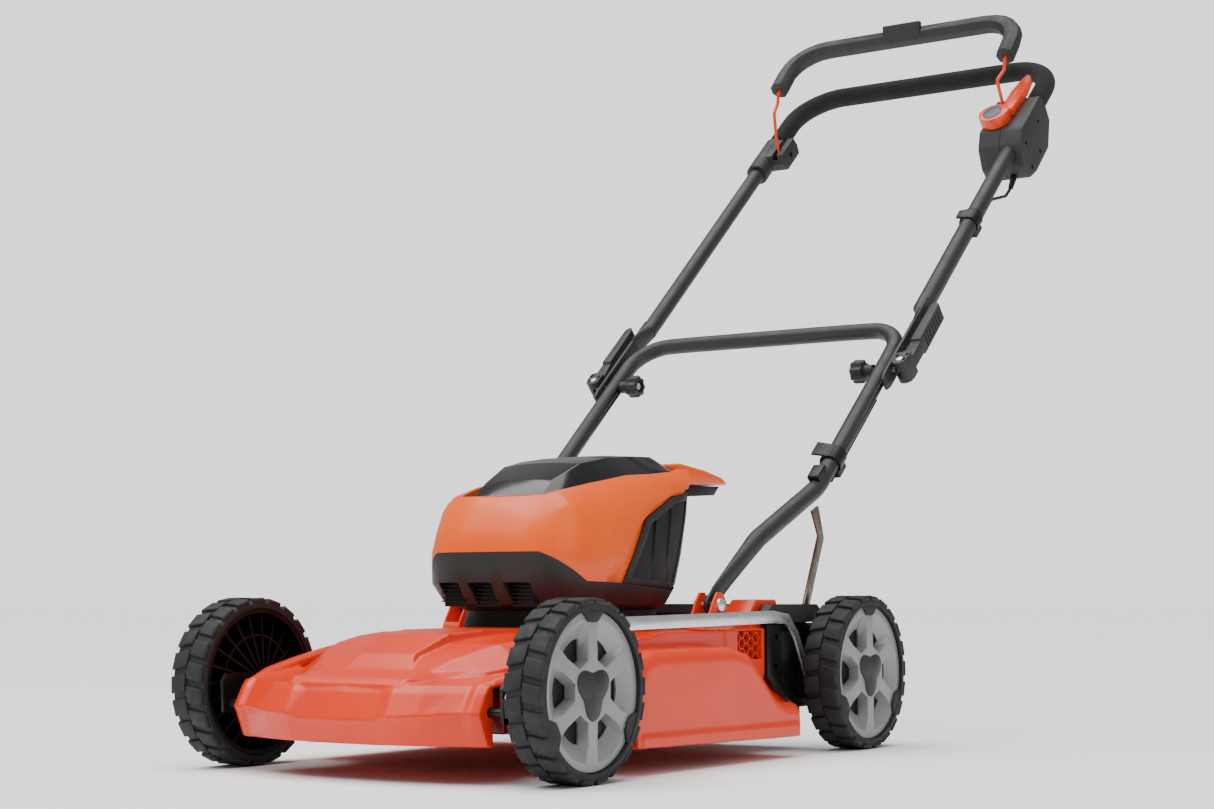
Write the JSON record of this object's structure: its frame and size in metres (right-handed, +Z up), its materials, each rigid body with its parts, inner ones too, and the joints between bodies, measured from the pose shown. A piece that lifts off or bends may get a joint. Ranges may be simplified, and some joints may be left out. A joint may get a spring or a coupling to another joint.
{
  "type": "push lawn mower",
  "caption": "Walk-behind cordless push lawn mower with steel deck, folding tube handle, bail bar and central height lever.",
  "frame": {"origin": "on the ground under the middle of the bounding box", "axes": "+Z up, front of the mower towards -Y, operator at +Y, +X to the operator's left"},
  "size_m": [0.536, 1.5066, 1.1476],
  "materials": {
    "deck_orange": "glossy red-orange powder coat on pressed steel",
    "housing_orange": "glossy orange moulded ABS",
    "dark_plastic": "dark grey moulded plastic, fine texture",
    "core_black": "black moulded polypropylene",
    "lid_black": "satin to glossy black moulded plastic",
    "tyre_black": "matt dark grey tread, moulded lugs",
    "trim_silver": "silver-grey moulded trim",
    "tube_grey": "dark grey satin powder coat on steel tube",
    "black_steel": "black satin paint on steel plate",
    "foam_black": "closed-cell foam sleeve",
    "bare_steel": "zinc-plated steel strip",
    "aluminium_case": "cast aluminium",
    "laminated_iron": "laminated core with varnish",
    "wire_orange": "orange coated steel wire",
    "lever_orange": "glossy orange moulded plastic",
    "cable_black": "black cable jacket"
  },
  "bodies": {
    "root": {"deck_shell": "deck_orange", "handle_ear_left": "deck_orange", "handle_ear_right": "deck_orange", "rear_cover": "dark_plastic", "rear_bracket_left": "black_steel", "rear_bracket_right": "black_steel", "motor_neck": "dark_plastic", "motor_base": "dark_plastic", "motor_shell": "housing_orange", "rear_grip_cover": "dark_plastic", "louvre_left": "dark_plastic", "louvre_right": "dark_plastic", "motor_controller": "aluminium_case", "motor_stator": "laminated_iron", "pivot_bolt_left": "bare_steel", "pivot_bolt_right": "bare_steel"},
    "rear_flap": {"rear_flap": "dark_plastic"},
    "battery_lid": {"battery_lid": "lid_black"},
    "battery": {"battery_pack": "dark_plastic"},
    "blade": {"rotor_shaft": "bare_steel", "blade_adapter": "aluminium_case", "blade": "bare_steel", "blade_bolt": "bare_steel"},
    "front_axle": {"front_axle": "black_steel"},
    "rear_axle": {"rear_axle": "black_steel", "height_lever": "bare_steel"},
    "link_bar": {"link_bar": "bare_steel"},
    "lower_handle": {"lower_handle": "tube_grey", "cable_lower": "cable_black", "cable_clip_lower": "dark_plastic"},
    "star_knob_left": {"star_knob_left": "dark_plastic"},
    "star_knob_right": {"star_knob_right": "dark_plastic"},
    "upper_handle": {"upper_handle": "tube_grey", "grip_foam": "foam_black", "control_box": "dark_plastic", "bail_bracket_right": "dark_plastic", "cable_upper": "cable_black", "cable_clip_upper": "dark_plastic"},
    "clamp_lever_left": {"clamp_lever_left": "dark_plastic"},
    "clamp_lever_right": {"clamp_lever_right": "dark_plastic"},
    "bail": {"bail_wire": "wire_orange", "bail_cover": "dark_plastic"},
    "start_lever": {"start_lever": "lever_orange"},
    "wheel_front_left": {"tyre_front_left": "tyre_black", "wheel_core_front_left": "core_black", "wheel_trim_front_left": "trim_silver", "hub_cap_front_left": "dark_plastic"},
    "wheel_front_right": {"tyre_front_right": "tyre_black", "wheel_core_front_right": "core_black", "wheel_trim_front_right": "trim_silver", "hub_cap_front_right": "dark_plastic"},
    "wheel_rear_left": {"tyre_rear_left": "tyre_black", "wheel_core_rear_left": "core_black", "wheel_trim_rear_left": "trim_silver", "hub_cap_rear_left": "dark_plastic"},
    "wheel_rear_right": {"tyre_rear_right": "tyre_black", "wheel_core_rear_right": "core_black", "wheel_trim_rear_right": "trim_silver", "hub_cap_rear_right": "dark_plastic"}
  },
  "joints": [
    {"name": "height_adjust", "type": "hinge", "parent": "root", "child": "rear_axle", "pos_m": [0, -0.07195, 0.0778], "axis": [-1, 0, 0], "range_deg": [0, 37]},
    {"name": "front_axle_turn", "type": "hinge", "parent": "root", "child": "front_axle", "pos_m": [0, -0.70695, 0.0778], "axis": [-1, 0, 0], "range_deg": [0, 37]},
    {"name": "link_bar_turn", "type": "hinge", "parent": "rear_axle", "child": "link_bar", "pos_m": [0, -0.07595, 0.0998], "axis": [-1, 0, 0], "range_deg": [-37, 0]},
    {"name": "wheel_front_left_spin", "type": "hinge", "parent": "front_axle", "child": "wheel_front_left", "pos_m": [0.2435, -0.64055, 0.1], "axis": [1, 0, 0], "continuous": true},
    {"name": "wheel_front_right_spin", "type": "hinge", "parent": "front_axle", "child": "wheel_front_right", "pos_m": [-0.2435, -0.64055, 0.1], "axis": [1, 0, 0], "continuous": true},
    {"name": "wheel_rear_left_spin", "type": "hinge", "parent": "rear_axle", "child": "wheel_rear_left", "pos_m": [0.2435, -0.00555, 0.1], "axis": [1, 0, 0], "continuous": true},
    {"name": "wheel_rear_right_spin", "type": "hinge", "parent": "rear_axle", "child": "wheel_rear_right", "pos_m": [-0.2435, -0.00555, 0.1], "axis": [1, 0, 0], "continuous": true},
    {"name": "blade_spin", "type": "hinge", "parent": "root", "child": "blade", "pos_m": [0, -0.36055, 0.043], "axis": [0, 0, 1], "continuous": true},
    {"name": "rear_flap_lift", "type": "hinge", "parent": "root", "child": "rear_flap", "pos_m": [0, -0.03605, 0.15], "axis": [1, 0, 0], "range_deg": [0, 75]},
    {"name": "battery_lid_open", "type": "hinge", "parent": "root", "child": "battery_lid", "pos_m": [0, -0.18755, 0.37], "axis": [-1, 0, 0], "range_deg": [0, 75]},
    {"name": "battery_lift", "type": "slide", "parent": "root", "child": "battery", "axis": [0, 0, 1], "range_m": [0, 0.01]},
    {"name": "lower_handle_pivot", "type": "hinge", "parent": "root", "child": "lower_handle", "pos_m": [0, -0.28055, 0.189], "axis": [1, 0, 0], "range_deg": [0, 15]},
    {"name": "handle_fold", "type": "hinge", "parent": "lower_handle", "child": "upper_handle", "pos_m": [0, 0.12122, 0.51001], "axis": [1, 0, 0], "range_deg": [0, 150]},
    {"name": "star_knob_left_turn", "type": "hinge", "parent": "lower_handle", "child": "star_knob_left", "pos_m": [0.19, 0.12122, 0.51001], "axis": [1, 0, 0], "continuous": true},
    {"name": "star_knob_right_turn", "type": "hinge", "parent": "lower_handle", "child": "star_knob_right", "pos_m": [-0.19, 0.12122, 0.51001], "axis": [1, 0, 0], "continuous": true},
    {"name": "clamp_lever_left_open", "type": "hinge", "parent": "upper_handle", "child": "clamp_lever_left", "pos_m": [0.256, 0.12122, 0.51001], "axis": [0, 0.6671, -0.745], "range_deg": [0, 120]},
    {"name": "clamp_lever_right_open", "type": "hinge", "parent": "upper_handle", "child": "clamp_lever_right", "pos_m": [-0.256, 0.12122, 0.51001], "axis": [0, -0.6671, 0.745], "range_deg": [0, 120]},
    {"name": "bail_squeeze", "type": "hinge", "parent": "upper_handle", "child": "bail", "pos_m": [0, 0.5958, 0.93492], "axis": [-1, 0, 0], "range_deg": [0, 18], "stiffness_Nm_per_rad": 1.5},
    {"name": "start_lever_turn", "type": "hinge", "parent": "upper_handle", "child": "start_lever", "pos_m": [0.207, 0.57568, 0.91691], "axis": [0, 0.6671, -0.745], "range_deg": [0, 15], "stiffness_Nm_per_rad": 0.3}
  ],
  "couplings": [
    {"joint": "front_axle_turn", "follows": "height_adjust", "ratio": 1},
    {"joint": "link_bar_turn", "follows": "height_adjust", "ratio": -1}
  ]
}
